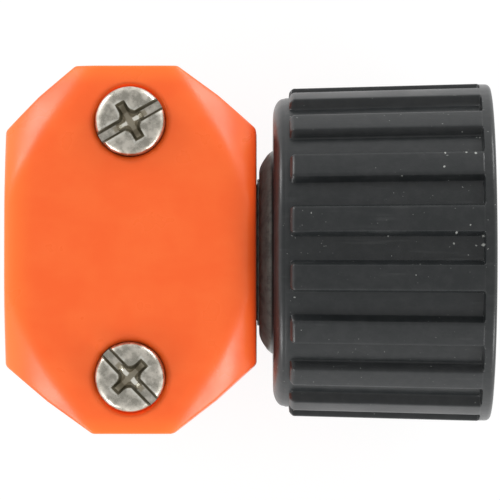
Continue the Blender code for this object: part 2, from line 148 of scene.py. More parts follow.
def outline_corners(cuts, inset):
    """Corner points of the clamp's outline, moved in by an inset, anticlockwise."""
    points = []
    for x_side, y_side in ((1, 1), (-1, 1), (-1, -1), (1, -1)):
        length, width, _, _ = cuts[x_side, y_side]
        on_end = np.array([x_side * half_length, y_side * (half_width - width)])
        on_side = np.array([x_side * (half_length - length), y_side * half_width])
        outward = np.array([x_side * width, y_side * length]) / math.hypot(length, width)
        cut = [on_end, (on_end + on_side) / 2 + outward * CORNER_BULGE, on_side]
        points.extend(cut if x_side * y_side > 0 else cut[::-1])
    moved = []
    for index, point in enumerate(points):
        before = point - points[index - 1]
        after = points[(index + 1) % len(points)] - point
        normals = np.array([[side[1], -side[0]] / np.linalg.norm(side) for side in (before, after)])
        moved.append(np.linalg.solve(normals, normals @ point - inset))
    return moved


def outline_loop(cuts, inset):
    """Points round the clamp's outline at an inset, with its upright edges rounded."""
    rounding = max(UPRIGHT_ROUND - inset, 0.0)
    turns = outline_corners(cuts, max(inset, UPRIGHT_ROUND))
    full = outline_corners(cuts, 0.0)
    arcs = []
    for index, corner in enumerate(turns):
        before = corner - turns[index - 1]
        after = turns[(index + 1) % len(turns)] - corner
        start = math.atan2(before[1], before[0]) - math.pi / 2
        turn = math.atan2(before[0] * after[1] - before[1] * after[0], before @ after)
        steps = OUTLINE_ARC_STEPS if rounding else 0
        angles = [start] + [start + turn * step / steps for step in range(1, steps + 1)]
        arcs.append([
            corner + rounding * np.array([math.cos(angle), math.sin(angle)]) for angle in angles
        ])
    loop = []
    for index, arc_points in enumerate(arcs):
        loop.extend(arc_points)
        following = (index + 1) % len(arcs)
        start, end = arc_points[-1], arcs[following][0]
        pieces = max(int(np.linalg.norm(full[following] - full[index]) / FACE_GRID), 2)
        loop.extend(start + (end - start) * step / pieces for step in range(1, pieces))
    return loop


def outline_inset(cuts, x, y):
    """Distance inside the clamp's outline, with its upright edges rounded."""
    turns = outline_corners(cuts, UPRIGHT_ROUND)
    point = np.stack([x, y], axis=-1)
    outside = np.full(x.shape, np.inf)
    inside = np.full(x.shape, np.inf)
    for index, corner in enumerate(turns):
        side = turns[(index + 1) % len(turns)] - corner
        length = np.linalg.norm(side)
        offset = point - corner
        along = np.clip(offset @ side / length ** 2, 0.0, 1.0)
        outside = np.minimum(outside, np.linalg.norm(offset - along[..., None] * side, axis=-1))
        inward = (offset[..., 1] * side[0] - offset[..., 0] * side[1]) / length
        inside = np.minimum(inside, inward)
    return np.where(inside > 0.0, UPRIGHT_ROUND + inside, UPRIGHT_ROUND - outside)


def quarter_drop(distance, radius):
    """How far a rounded edge has dropped at a distance from the wall it runs into."""
    across = np.clip(radius - distance, 0.0, radius)
    return radius - np.sqrt(radius ** 2 - across ** 2)


class Recess:
    """A round or square hollow in a clamp half's back, with a flat floor and a rounded rim."""

    def __init__(self, centre, half_size, rounding, floor, rim):
        self.centre = np.array(centre)
        self.half_size = half_size
        self.rounding = rounding
        self.floor = floor
        self.rim = rim

    def distance(self, x, y):
        """Distance outside the recess's wall, negative within it."""
        inner = self.half_size - self.rounding
        over_x = np.abs(x - self.centre[0]) - inner
        over_y = np.abs(y - self.centre[1]) - inner
        outside = np.hypot(np.maximum(over_x, 0.0), np.maximum(over_y, 0.0))
        return outside + np.minimum(np.maximum(over_x, over_y), 0.0) - self.rounding

    def loop(self, distance):
        """Points round the recess at a distance outside its wall."""
        inner = self.half_size - self.rounding
        points = []
        for quarter in range(4):
            start = quarter * math.pi / 2
            turn = np.array([math.cos(start + math.pi / 4), math.sin(start + math.pi / 4)])
            middle = self.centre + turn * inner * math.sqrt(2.0)
            steps = POCKET_CORNER_STEPS if inner > 0 else ROUND_RECESS_STEPS
            for step in range(steps + (inner > 0)):
                angle = start + math.pi / 2 * step / steps
                radius = self.rounding + distance
                points.append(middle + radius * np.array([math.cos(angle), math.sin(angle)]))
            if inner > 0:
                along = np.array([math.cos(start + math.pi), math.sin(start + math.pi)])
                last = points[-1]
                runs = int(2 * inner / FACE_GRID)
                points.extend(last + along * 2 * inner * run / runs for run in range(1, runs))
        return points


def clamp_back(cuts, recesses):
    """Plan points and triangles of a clamp half's back, with rings of points at every edge."""
    rings = [outline_loop(cuts, SIDE_DRAFT + inset) for inset in EDGE_RING_INSETS]
    clear = SIDE_DRAFT + EDGE_RING_INSETS[-1] + FACE_GRID * 0.6
    for recess in recesses:
        foot = -RECESS_DRAFT
        marks = [recess.rim * share for share in RIM_RING_SHARES]
        marks += [foot, foot - RECESS_FOOT * 0.35, foot - RECESS_FOOT]
        rings += [recess.loop(mark) for mark in marks]

    xs = np.arange(-half_length, half_length, FACE_GRID)
    ys = np.arange(-half_width, half_width, FACE_GRID * math.sqrt(0.75))
    grid_x, grid_y = np.meshgrid(xs, ys)
    grid_x = grid_x + (np.arange(len(ys)) % 2)[:, None] * FACE_GRID / 2
    keep = outline_inset(cuts, grid_x, grid_y) > clear
    for recess in recesses:
        away = recess.distance(grid_x, grid_y)
        outside = recess.rim * RIM_RING_SHARES[0] + FACE_GRID * 0.5
        within = -RECESS_DRAFT - RECESS_FOOT - FACE_GRID * 0.5
        keep &= (away > outside) | (away < within)
    filling = np.stack([grid_x[keep], grid_y[keep]], axis=-1)

    points = []
    edges = []
    for ring in rings:
        first = len(points)
        points.extend(ring)
        edges.extend((first + step, first + (step + 1) % len(ring)) for step in range(len(ring)))
    points.extend(filling)
    plan = [Vector((float(x) * 1000, float(y) * 1000)) for x, y in points]
    border = [list(range(len(rings[0])))]
    verts, _, faces, _, _, _ = delaunay_2d_cdt(plan, edges, border, 1, 0.000001, False)
    return np.array([(point.x, point.y) for point in verts]) / 1000, faces


def clamp_surface(cuts, x, y, recesses):
    """Height of the clamp's back with its edge rounding and its recesses."""
    from_edge = outline_inset(cuts, x, y) - SIDE_DRAFT
    height = back_height(cuts, x, y) - quarter_drop(from_edge, EDGE_ROUND)
    for recess in recesses:
        away = recess.distance(x, y)
        rim = height - recess.rim * RIM_DROP * np.clip(1.0 - away / recess.rim, 0.0, 1.0) ** 2
        floor = recess.floor + quarter_drop(-RECESS_DRAFT - away, RECESS_FOOT)
        height = np.where(away > -RECESS_DRAFT / 2, rim, floor)
    return height


def join_rings(shape, rings):
    """Add the faces between each ring of points and the next."""
    for ring, following in zip(rings, rings[1:]):
        for step in range(len(ring)):
            after = (step + 1) % len(ring)
            shape.faces.new((ring[step], ring[after], following[after], following[step]))


def round_bar(shape, profile, centre, along_x, steps):
    """Add a closed turned body to a shape: profile rows are (place on the axis, radius)."""
    rings = []
    for place, radius in profile:
        ring = []
        for step in range(steps):
            angle = 2 * math.pi * step / steps
            across, up = radius * math.cos(angle), radius * math.sin(angle)
            at = (place, across, up) if along_x else (centre[0] + across, centre[1] + up, place)
            ring.append(shape.verts.new(at))
        rings.append(ring)
    join_rings(shape, rings)
    shape.faces.new(rings[0])
    shape.faces.new(rings[-1])


def mesh_of(shape, name):
    """Turn a finished shape into a mesh."""
    mesh = bpy.data.meshes.new(name)
    shape.to_mesh(mesh)
    shape.free()
    return mesh


def put_in_scene(name, data):
    """An object in the scene that holds a mesh, a lamp or a camera."""
    thing = bpy.data.objects.new(name, data)
    bpy.context.scene.collection.objects.link(thing)
    return thing


def hollow_mesh():
    """Everything bored or cored out of a clamp half: ridged hose space, end hole, screw holes."""
    mouth = front_low.x
    end = front_high.x
    profile = [(mouth - OVERCUT, HOSE_RADIUS + MOUTH_FLARE), (mouth, HOSE_RADIUS + MOUTH_FLARE)]
    profile.append((mouth + MOUTH_FLARE, HOSE_RADIUS))
    ridge = FIRST_RIDGE_X
    while ridge + RIDGE_WIDTH < end - END_WALL:
        if ridge - RIDGE_WIDTH > mouth + MOUTH_FLARE:
            for share in (-0.5, -0.3, -0.1, 0.0, 0.1, 0.3, 0.5):
                rise = RIDGE_HEIGHT * (0.5 + 0.5 * math.cos(2 * math.pi * share)) ** 0.8
                profile.append((ridge + RIDGE_WIDTH * share, HOSE_RADIUS - rise))
        ridge += BARB_PITCH
    profile += [(end - END_WALL, HOSE_RADIUS), (end - END_WALL, GROOVE_HOLE_RADIUS)]
    profile.append((end + OVERCUT, GROOVE_HOLE_RADIUS))
    shape = bmesh.new()
    round_bar(shape, profile, (0.0, 0.0), True, HOSE_SPACE_STEPS)
    hole = [(parting - OVERCUT, SCREW_HOLE_RADIUS), (crown_top + OVERCUT, SCREW_HOLE_RADIUS)]
    for y in (screw_y, -screw_y):
        round_bar(shape, hole, (clamp_middle, y), False, SCREW_HOLE_STEPS)
    bmesh.ops.recalc_face_normals(shape, faces=shape.faces)
    return mesh_of(shape, "clamp_hollow")


def plain_copy(piece):
    """The piece's mesh with its modifiers worked in, as a mesh of its own."""
    depsgraph = bpy.context.evaluated_depsgraph_get()
    depsgraph.update()
    mesh = bpy.data.meshes.new_from_object(piece.evaluated_get(depsgraph))
    old = piece.data
    piece.modifiers.clear()
    piece.data = mesh
    mesh.name = old.name
    bpy.data.meshes.remove(old)


def cut_away(piece, tool_mesh):
    """Cut a mesh out of a piece for good."""
    tool = put_in_scene("cutting_tool", tool_mesh)
    modifier = piece.modifiers.new("cut", "BOOLEAN")
    modifier.operation = "DIFFERENCE"
    modifier.solver = "EXACT"
    modifier.object = tool
    plain_copy(piece)
    bpy.data.objects.remove(tool)
    bpy.data.meshes.remove(tool_mesh)


def paint(piece, material):
    """Give every face of a piece one material."""
    piece.data.materials.clear()
    piece.data.materials.append(material)
    piece.data.polygons.foreach_set("material_index", [0] * len(piece.data.polygons))
    piece.data.update()


def smooth(piece, sharp_angle):
    """Shade a piece smoothly, except where its faces meet at more than an angle in degrees."""
    piece.data.shade_smooth()
    piece.data.set_sharp_from_angle(angle=math.radians(sharp_angle))


def clamp_half(name, cuts, recesses, turned_over):
    """One clamp half: its back, draughted sides and flat parting face, then its hollows cut."""
    plan, faces = clamp_back(cuts, recesses)
    heights = clamp_surface(cuts, plan[:, 0], plan[:, 1], recesses)
    shape = bmesh.new()
    back = [shape.verts.new((x, y, z)) for (x, y), z in zip(plan, heights)]
    for face in faces:
        shape.faces.new([back[index] for index in face])

    edge = np.array(outline_loop(cuts, SIDE_DRAFT))
    tops = clamp_surface(cuts, edge[:, 0], edge[:, 1], recesses)
    side_levels = [(SIDE_DRAFT * share, share, 0.0) for share in (1.0, 0.6, 0.2)]
    side_levels += [(0.0, 0.0, FOOT_ROUND), (FOOT_ROUND * 0.3, 0.0, FOOT_ROUND * 0.3)]
    side_levels.append((FOOT_ROUND, 0.0, 0.0))
    rings = []
    for inset, share, lift in side_levels:
        levels = parting + lift + (tops - parting) * share
        loop = outline_loop(cuts, inset)
        rings.append([shape.verts.new((x, y, z)) for (x, y), z in zip(loop, levels)])
    join_rings(shape, rings)
    shape.faces.new(rings[-1])
    bmesh.ops.remove_doubles(shape, verts=shape.verts, dist=WELD_DISTANCE)
    bmesh.ops.recalc_face_normals(shape, faces=shape.faces)
    bmesh.ops.translate(shape, verts=shape.verts, vec=(clamp_middle, 0.0, 0.0))

    piece = put_in_scene(name, mesh_of(shape, name))
    cut_away(piece, hollow_mesh())
    if turned_over:
        piece.data.transform(Matrix.Rotation(math.pi, 4, "X"))
    smooth(piece, 33.0)
    return piece


class Wire:
    """One socket of a node. Arithmetic on it adds Math nodes."""

    def __init__(self, nodes, socket):
        self.nodes = nodes
        self.socket = socket

    def maths(self, operation, other=0.0):
        """A Math node with this wire in front and another value behind it."""
        return self.nodes.add("ShaderNodeMath", {"operation": operation}, {0: self, 1: other})

    def __add__(self, other):
        return self.maths("ADD", other)

    def __sub__(self, other):
        return self.maths("SUBTRACT", other)

    def __rsub__(self, other):
        return self.nodes.add("ShaderNodeMath", {"operation": "SUBTRACT"}, {0: other, 1: self})

    def __mul__(self, other):
        return self.maths("MULTIPLY", other)

    def __truediv__(self, other):
        return self.maths("DIVIDE", other)

    def __pow__(self, other):
        return self.maths("POWER", other)

    def __abs__(self):
        return self.maths("ABSOLUTE")

    __radd__ = __add__
    __rmul__ = __mul__


class Nodes:
    """A node tree, filled node by node."""

    def __init__(self, tree):
        self.tree = tree

    def add(self, kind, settings=None, inputs=None, output=0):
        """Add a node: its settings first, then values or wires for its sockets."""
        node = self.tree.nodes.new(kind)
        for name, value in (settings or {}).items():
            setattr(node, name, value)
        for key, value in (inputs or {}).items():
            if isinstance(value, Wire):
                self.tree.links.new(value.socket, node.inputs[key])
            else:
                node.inputs[key].default_value = value
        return Wire(self, node.outputs[output])

    def split(self, vector):
        """The X, Y and Z of a vector."""
        x = self.add("ShaderNodeSeparateXYZ", {}, {0: vector})
        return [Wire(self, part) for part in x.socket.node.outputs]

    def step(self, value, low, high):
        """0 below low, 1 above high and smooth between."""
        sockets = {0: value, 1: low, 2: high, 3: 0.0, 4: 1.0}
        return self.add("ShaderNodeMapRange", {"interpolation_type": "SMOOTHSTEP"}, sockets)

    def mix(self, factor, first, second):
        """From the first colour to the second."""
        sockets = {0: factor, 6: first, 7: second}
        return self.add("ShaderNodeMix", {"data_type": "RGBA"}, sockets, output=2)

    def noise(self, place, scale, detail=2.0, roughness=0.5, stretch=None):
        """Noise between about 0.3 and 0.7, with features of one over scale metres."""
        if stretch:
            place = self.add("ShaderNodeMapping", {}, {0: place, 3: stretch})
        sockets = {"Vector": place, "Scale": scale, "Detail": detail, "Roughness": roughness}
        return self.add("ShaderNodeTexNoise", {}, sockets)

    def bump(self, strength, distance, height):
        """Fine relief for a shader's Normal."""
        sockets = {"Strength": strength, "Distance": distance, "Height": height}
        return self.add("ShaderNodeBump", {}, sockets)


def colour(red, green, blue):
    """A display colour, 0 to 255, as the linear colour a socket takes."""
    linear = []
    for value in (red, green, blue):
        share = value / 255
        linear.append(share / 12.92 if share <= 0.04045 else ((share + 0.055) / 1.055) ** 2.4)
    return (*linear, 1.0)


def new_material(name, ior):
    """A Principled material: its nodes, its shader node and the place on the piece."""
    material = bpy.data.materials.new(name)
    material.use_nodes = True
    nodes = Nodes(material.node_tree)
    shader = material.node_tree.nodes["Principled BSDF"]
    shader.inputs["IOR"].default_value = ior
    place = nodes.add("ShaderNodeTexCoord", {}, {}, output="Object")
    return material, nodes, shader, place


def feed(nodes, shader, sockets):
    """Wire what changes over the surface into the shader."""
    for name, wire in sockets.items():
        nodes.tree.links.new(wire.socket, shader.inputs[name])


# Widths of the painted sheen at the mouth end and the long sides, and of the painted shade at the nut
# end.
MOUTH_PAINTED_SHEEN_LENGTH = 0.0036
SIDE_PAINTED_SHEEN_WIDTH = 0.0024
NUT_END_PAINTED_SHADE_LENGTH = 0.0012

orange_plastic, nodes, shader, place = new_material("orange_plastic", 1.42)
x, y, _ = nodes.split(place)
cloud = nodes.noise(place, 230.0, 3.0)
flow = nodes.noise(place, 420.0, 2.0, 0.6, (0.35, 1.0, 1.0))
fine = nodes.noise(place, 3200.0, 2.0)
from_screw = ((x - clamp_middle) ** 2 + (abs(y) - screw_y) ** 2) ** 0.5
in_recess = 1.0 - nodes.step(from_screw, SPOT_FACE_RADIUS - 0.0001, SPOT_FACE_RADIUS + 0.0001)
# Darker orange-brown patches in the spot faces: partly dirt, partly painted shade round the screw heads.
recess_dirt_and_shade = in_recess * nodes.step(nodes.noise(place, 900.0, 3.0), 0.30, 0.62)
plain = nodes.mix(nodes.step(cloud, 0.35, 0.65), colour(254, 106, 42), colour(252, 100, 36))
plain = nodes.mix(nodes.step(flow, 0.45, 0.75) * 0.3, plain, colour(255, 112, 48))
plain = nodes.mix(recess_dirt_and_shade * 0.3, plain, colour(150, 52, 22))
# Painted sheen: the mouth end and the long sides are painted a lighter, yellower orange, for light caught
# on their rounded edges.
mouth_painted_sheen = nodes.step(clamp_middle - x, half_length - MOUTH_PAINTED_SHEEN_LENGTH, half_length)
side_painted_sheen = nodes.step(abs(y), half_width - SIDE_PAINTED_SHEEN_WIDTH, half_width)
# Painted shade: the end next to the swivel nut is painted a darker red, where the nut shades it.
nut_end_painted_shade = nodes.step(x - clamp_middle, half_length - NUT_END_PAINTED_SHADE_LENGTH, half_length)
plain = nodes.mix(mouth_painted_sheen.maths("MAXIMUM", side_painted_sheen), plain, colour(255, 119, 44))
plain = nodes.mix(nut_end_painted_shade, plain, colour(255, 88, 34))
feed(nodes, shader, {
    "Base Color": plain,
    "Roughness": 0.27 + nodes.step(cloud, 0.3, 0.7) * 0.07 + recess_dirt_and_shade * 0.25,
    "Normal": nodes.bump(0.35, 0.00002, fine + cloud * 1.5),
})

spot_faces = []
pockets = []
for y_place in (screw_y, -screw_y):
    middle = (0.0, y_place)
    spot_faces.append(Recess(middle, SPOT_FACE_RADIUS, SPOT_FACE_RADIUS, SPOT_FACE_Z, SPOT_FACE_RIM))
    pockets.append(Recess(middle, POCKET_HALF, POCKET_CORNER_RADIUS, POCKET_FLOOR_Z, POCKET_RIM))
rear_corners = {(x_side, -y_side): cut for (x_side, y_side), cut in FRONT_CORNERS.items()}
front_half = clamp_half("clamp_front", FRONT_CORNERS, spot_faces, False)
rear_half = clamp_half("clamp_rear", rear_corners, pockets, True)
clamp_halves = ((front_half, "cover", "front_clamp_half"), (rear_half, "base", "rear_clamp_half"))
for half, body, node in clamp_halves:
    paint(half, orange_plastic)
    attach(half, body)
    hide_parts(node)


# Barbed stem
# A hollow moulding of black plastic. The hose is pushed over its barbs, the clamp's end walls close
# in its groove, and its flange is trapped in the swivel nut behind the washer.
stem_low, stem_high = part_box("barbed_stem")
BARBS = 6
BARB_ROOT_RADIUS = 0.0072
BARB_PEAK_RADIUS = 0.0080
BARB_PEAK_LENGTH = 0.00033
WATER_WAY_RADIUS = 0.0058
TIP_RADIUS = 0.0069
NECK_RADIUS = 0.00765
NECK_STEP_LENGTH = 0.00045
GROOVE_RADIUS = 0.00705
GROOVE_REAR_X, GROOVE_FRONT_X = -0.0017, 0.0008
FLANGE_RADIUS = 0.0120
FLANGE_REAR_X = 0.0056
POLE_WELD_DISTANCE = 0.000002
THREAD_FLANK = (0.2, 0.8)
DUST_AND_LIGHT_FADE = 0.0003


def turning_tree():
    """Geometry nodes that turn an outline round the X axis, with ribs and a screw thread.

    The mesh that they are given is a list of points. The first hold the outline, row by row, in
    the attributes along, radius, rise, thread and end. The rest hold one sector round the axis
    in turn, end_turn and share: rise times share lifts a row into a rib there.
    """
    tree = bpy.data.node_groups.new("turned_piece", "GeometryNodeTree")
    tree.interface.new_socket("Geometry", in_out="OUTPUT", socket_type="NodeSocketGeometry")
    for name, kind in (
        ("Geometry", "Geometry"), ("Outline points", "Int"), ("Sector points", "Int"), ("Sectors", "Int"),
        ("Thread pitch", "Float"), ("Sharp angle", "Float"), ("Material", "Material"),
    ):
        tree.interface.new_socket(name, in_out="INPUT", socket_type="NodeSocket" + kind)

    nodes = Nodes(tree)
    given = tree.nodes.new("NodeGroupInput")
    points, rows, steps, sectors, pitch, sharp_angle, material = (
        Wire(nodes, socket) for socket in given.outputs[:7]
    )
    grid_sockets = {"Vertices X": sectors * steps + 1, "Vertices Y": rows}
    grid = nodes.add("GeometryNodeMeshGrid", {}, grid_sockets)
    index = nodes.add("GeometryNodeInputIndex")

    def sample(name, where):
        named = nodes.add("GeometryNodeInputNamedAttribute", {"data_type": "FLOAT"}, {"Name": name})
        sockets = {"Geometry": points, "Value": named, "Index": where}
        return nodes.add("GeometryNodeSampleIndex", {"data_type": "FLOAT"}, sockets)

    column = ((index + 0.5) / rows).maths("FLOOR")
    row = index - column * rows
    sector = ((column + 0.5) / steps).maths("FLOOR")
    step = rows + column - sector * steps
    along, end = sample("along", row), sample("end", row)
    in_sector = sample("turn", step) * (1.0 - end) + sample("end_turn", step) * end
    turn = (sector + in_sector) / sectors
    angle = turn * (2 * math.pi) + math.pi / 2
    phase = along / pitch - turn
    from_crest = abs((phase - phase.maths("FLOOR")) * 2.0 - 1.0)
    thread = nodes.step(from_crest, *THREAD_FLANK)
    radius = sample("radius", row) + sample("rise", row) * sample("share", step)
    radius = radius + sample("thread", row) * thread
    across = radius * angle.maths("COSINE")
    up = radius * angle.maths("SINE")
    position = nodes.add("ShaderNodeCombineXYZ", {}, {0: along, 1: across, 2: up})
    skin = nodes.add("GeometryNodeSetPosition", {}, {"Geometry": grid, "Position": position})
    welding = {"Geometry": skin, "Distance": POLE_WELD_DISTANCE}
    skin = nodes.add("GeometryNodeMergeByDistance", {}, welding)
    edge_angle = nodes.add("GeometryNodeInputMeshEdgeAngle")
    comparison = {"operation": "LESS_THAN"}
    gentle = nodes.add("FunctionNodeCompare", comparison, {0: edge_angle, 1: sharp_angle})
    for domain, smoothed in (("FACE", True), ("EDGE", gentle)):
        shading = {"Geometry": skin, "Shade Smooth": smoothed}
        skin = nodes.add("GeometryNodeSetShadeSmooth", {"domain": domain}, shading)
    skin = nodes.add("GeometryNodeRealizeInstances", {}, {"Geometry": skin})
    skin = nodes.add("GeometryNodeSetMaterial", {}, {"Geometry": skin, "Material": material})
    result = tree.nodes.new("NodeGroupOutput")
    tree.links.new(skin.socket, result.inputs[0])
    return tree


turned_tree = turning_tree()


def rounded(corners, steps=4):
    """Outline points from corners of (along, radius, rounding)."""
    points = []
    neighbours = zip(corners[-1:] + corners[:-1], corners, corners[1:] + corners[:1])
    for before, (along, radius, rounding), after in neighbours:
        at = Vector((along, radius))
        if not rounding:
            points.append((at.x, at.y))
            continue
        to_before = (Vector(before[:2]) - at).normalized()
        to_after = (Vector(after[:2]) - at).normalized()
        half_angle = to_before.angle(to_after) / 2
        centre = at + (to_before + to_after).normalized() * rounding / math.sin(half_angle)
        reach = rounding / math.tan(half_angle)
        start = at + to_before * reach - centre
        finish = at + to_after * reach - centre
        first = math.atan2(start.y, start.x)
        turn = math.atan2(start.x * finish.y - start.y * finish.x, start.dot(finish))
        for step in range(steps + 1):
            angle = first + turn * step / steps
            point = centre + rounding * Vector((math.cos(angle), math.sin(angle)))
            points.append((point.x, point.y))
    return points


def plain_sector(points):
    """One sector with no rib: evenly spaced points."""
    return [(index / points, index / points, 0.0) for index in range(points)]


def plain_rows(points):
    """Rows of a plain outline."""
    return [(along, radius, 0.0, 0.0, 0.0) for along, radius in points]


def turned(name, rows, sector, sectors, material, pitch=1.0, sharp=30.0):
    """Turn outline rows of (along, radius, rise, thread, end) into a piece round the X axis."""
    count = len(rows) + len(sector)
    mesh = bpy.data.meshes.new(name)
    mesh.from_pydata([(0.0, 0.0, 0.0)] * count, [], [])
    for index, attribute in enumerate(("along", "radius", "rise", "thread", "end")):
        values = [row[index] for row in rows] + [0.0] * len(sector)
        mesh.attributes.new(attribute, "FLOAT", "POINT").data.foreach_set("value", values)
    for index, attribute in enumerate(("turn", "end_turn", "share")):
        values = [0.0] * len(rows) + [point[index] for point in sector]
        mesh.attributes.new(attribute, "FLOAT", "POINT").data.foreach_set("value", values)
    piece = put_in_scene(name, mesh)
    modifier = piece.modifiers.new("turned", "NODES")
    modifier.node_group = turned_tree
    values = {
        "Outline points": len(rows),
        "Sector points": len(sector),
        "Sectors": sectors,
        "Thread pitch": pitch,
        "Sharp angle": math.radians(sharp),
        "Material": material,
    }
    for item in turned_tree.interface.items_tree:
        if item.in_out == "INPUT" and item.name in values:
            modifier[item.identifier] = values[item.name]
    plain_copy(piece)
    volume = bmesh.new()
    volume.from_mesh(piece.data)
    if volume.calc_volume(signed=True) < 0.0:
        piece.data.flip_normals()
    volume.free()
    return piece


def black_plastic_material(name, specks, dust_and_light_from, dust_and_light_to):
    """Satin black plastic: a grey film, fine scuffs and dust.

    Between two places on X it is paler: partly dust, partly painted light.
    """
    material, nodes, shader, place = new_material(name, 1.48)
    x, y, z = nodes.split(place)
    cloud = nodes.noise(place, 160.0, 4.0, 0.6)
    film = nodes.noise(place, 900.0, 4.0, 0.65)
    scratch = nodes.noise(place, 1500.0, 2.0, 0.5, (0.08, 1.0, 1.0))
    fine = nodes.noise(place, 5200.0, 2.0)
    dust = nodes.step(nodes.noise(place, 3300.0, 1.0), 0.735, 0.79) * nodes.step(cloud, 0.45, 0.62)
    dust = dust * 0.6
    upper_side = nodes.step(z, 0.0, 0.002)
    for speck_x, speck_y, size, strength in specks:
        away = ((x - speck_x) ** 2 + (y - speck_y) ** 2) ** 0.5
        ragged = away + (fine - 0.5) * size * 1.6
        mark = (1.0 - nodes.step(ragged, size * 0.5, size)) * upper_side
        dust = dust.maths("MAXIMUM", mark * strength)
    worn = nodes.step(scratch, 0.60, 0.72) * nodes.step(cloud, 0.42, 0.62)
    base = nodes.mix(nodes.step(film, 0.35, 0.70), colour(30, 33, 34), colour(38, 40, 41))
    base = nodes.mix(worn * 0.3, base, colour(66, 68, 68))
    base = nodes.mix(dust, base, colour(170, 172, 168))
    # Between the two places on X, in the shaded gap behind the clamp, a pale grey film: partly dust,
    # partly painted light.
    dust_and_painted_light = 1.0 - nodes.step(x, dust_and_light_to - DUST_AND_LIGHT_FADE, dust_and_light_to)
    dust_and_painted_light = dust_and_painted_light * nodes.step(x, dust_and_light_from, dust_and_light_from + DUST_AND_LIGHT_FADE)
    dust_and_painted_light = dust_and_painted_light * (0.5 + nodes.step(film, 0.3, 0.6) * 0.4)
    base = nodes.mix(dust_and_painted_light, base, colour(164, 174, 168))
    feed(nodes, shader, {
        "Base Color": base,
        "Roughness": 0.28 + nodes.step(cloud, 0.3, 0.7) * 0.10 + dust * 0.3,
        "Normal": nodes.bump(0.4, 0.00002, fine + film * 1.6 + scratch),
    })
    return material


stem_plastic = black_plastic_material("stem_plastic", [], 0.0004, 0.0035)
profile = [
    (stem_high.x, WATER_WAY_RADIUS, 0.0002),
    (stem_low.x, WATER_WAY_RADIUS, 0.0003),
    (stem_low.x, TIP_RADIUS, 0.0003),
]
for index in range(BARBS):
    start = FIRST_RIDGE_X + index * BARB_PITCH
    end = start + BARB_PITCH
    profile.append((start, BARB_ROOT_RADIUS, 0.00012))
    profile.append((end - 2 * BARB_PEAK_LENGTH, BARB_PEAK_RADIUS, 0.0001))
    profile.append((end - BARB_PEAK_LENGTH, BARB_PEAK_RADIUS, 0.0001))
profile += [
    (end, BARB_ROOT_RADIUS, 0.00015),
    (end + NECK_STEP_LENGTH, NECK_RADIUS, 0.00015),
    (GROOVE_REAR_X, NECK_RADIUS, 0.00012),
    (GROOVE_REAR_X, GROOVE_RADIUS, 0.00015),
    (GROOVE_FRONT_X, GROOVE_RADIUS, 0.00015),
    (GROOVE_FRONT_X, NECK_RADIUS, 0.00012),
    (FLANGE_REAR_X, NECK_RADIUS, 0.00015),
    (FLANGE_REAR_X, FLANGE_RADIUS, 0.0003),
    (stem_high.x, FLANGE_RADIUS, 0.0003),
]
stem_rows = plain_rows(rounded(profile))
stem = turned("stem", stem_rows + stem_rows[:1], plain_sector(8), 14, stem_plastic)
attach(stem, "base")
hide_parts("barbed_stem")


# Swivel nut
# A black plastic nut with eighteen grip ribs, moulded in one with its rounded rear boss, and a
# real hose thread inside. It turns freely on the stem until it is screwed onto a tap.
nut_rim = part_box("swivel_nut")[1].x
BOSS_FRONT_X = 0.00100
BOSS_FRONT_RADIUS = 0.00833
BOSS_FALL = 0.00045
BOSS_FALL_WIDTH = 0.00124
BOSS_MIDDLE_X, BOSS_MIDDLE_RADIUS = 0.0029, 0.0083
BOSS_HALF_LENGTH, BOSS_HALF_WIDTH = 0.00165, 0.0024
BOSS_FOOT_RADIUS = 0.01062
NUT_REAR_X = 0.0025
NUT_HOLE_RADIUS = 0.00815
NUT_SEAT_X = 0.0053
NUT_BORE_RADIUS = 0.0126
SHOULDER_RADIUS = 0.0161
SHOULDER_FOOT_RADIUS = 0.0118
SHOULDER_ROUND_LENGTH, SHOULDER_ROUND_HEIGHT = 0.0011, 0.0019
SHOULDER_LINE_X = 0.0036
SHOULDER_LINE_WIDTH, SHOULDER_LINE_DEPTH = 0.00013, 0.00007
RIBS = 18
RIB_START_X = 0.0041
RIB_NOSE_LENGTH = 0.0008
RIB_HEIGHT = 0.001
BARREL_TAPER = 0.0005
COLLAR_START_X = 0.02365
COLLAR_STEP_LENGTH = 0.00025
COLLAR_RADIUS = 0.01755
RIM_ROUND = 0.0005
MOUTH_RADIUS = 0.0134
MOUTH_CHAMFER_LENGTH = 0.0008
HOSE_THREAD_PITCH = 0.00220869
HOSE_THREAD_DEPTH = 0.0010
HOSE_THREAD_FRONT_X, HOSE_THREAD_REAR_X = 0.0242, 0.0117


def thread_rows(front, rear, front_fade, rear_fade, count, radius, depth):
    """Rows of a screw thread that fades in and out, from its front back to its rear."""
    rows = []
    for index in range(count + 1):
        along = front + (rear - front) * index / count
        fade = min((front - along) / front_fade, (along - rear) / rear_fade, 1.0)
        rows.append((along, radius, 0.0, depth * max(fade, 0.0), 0.0))
    return rows


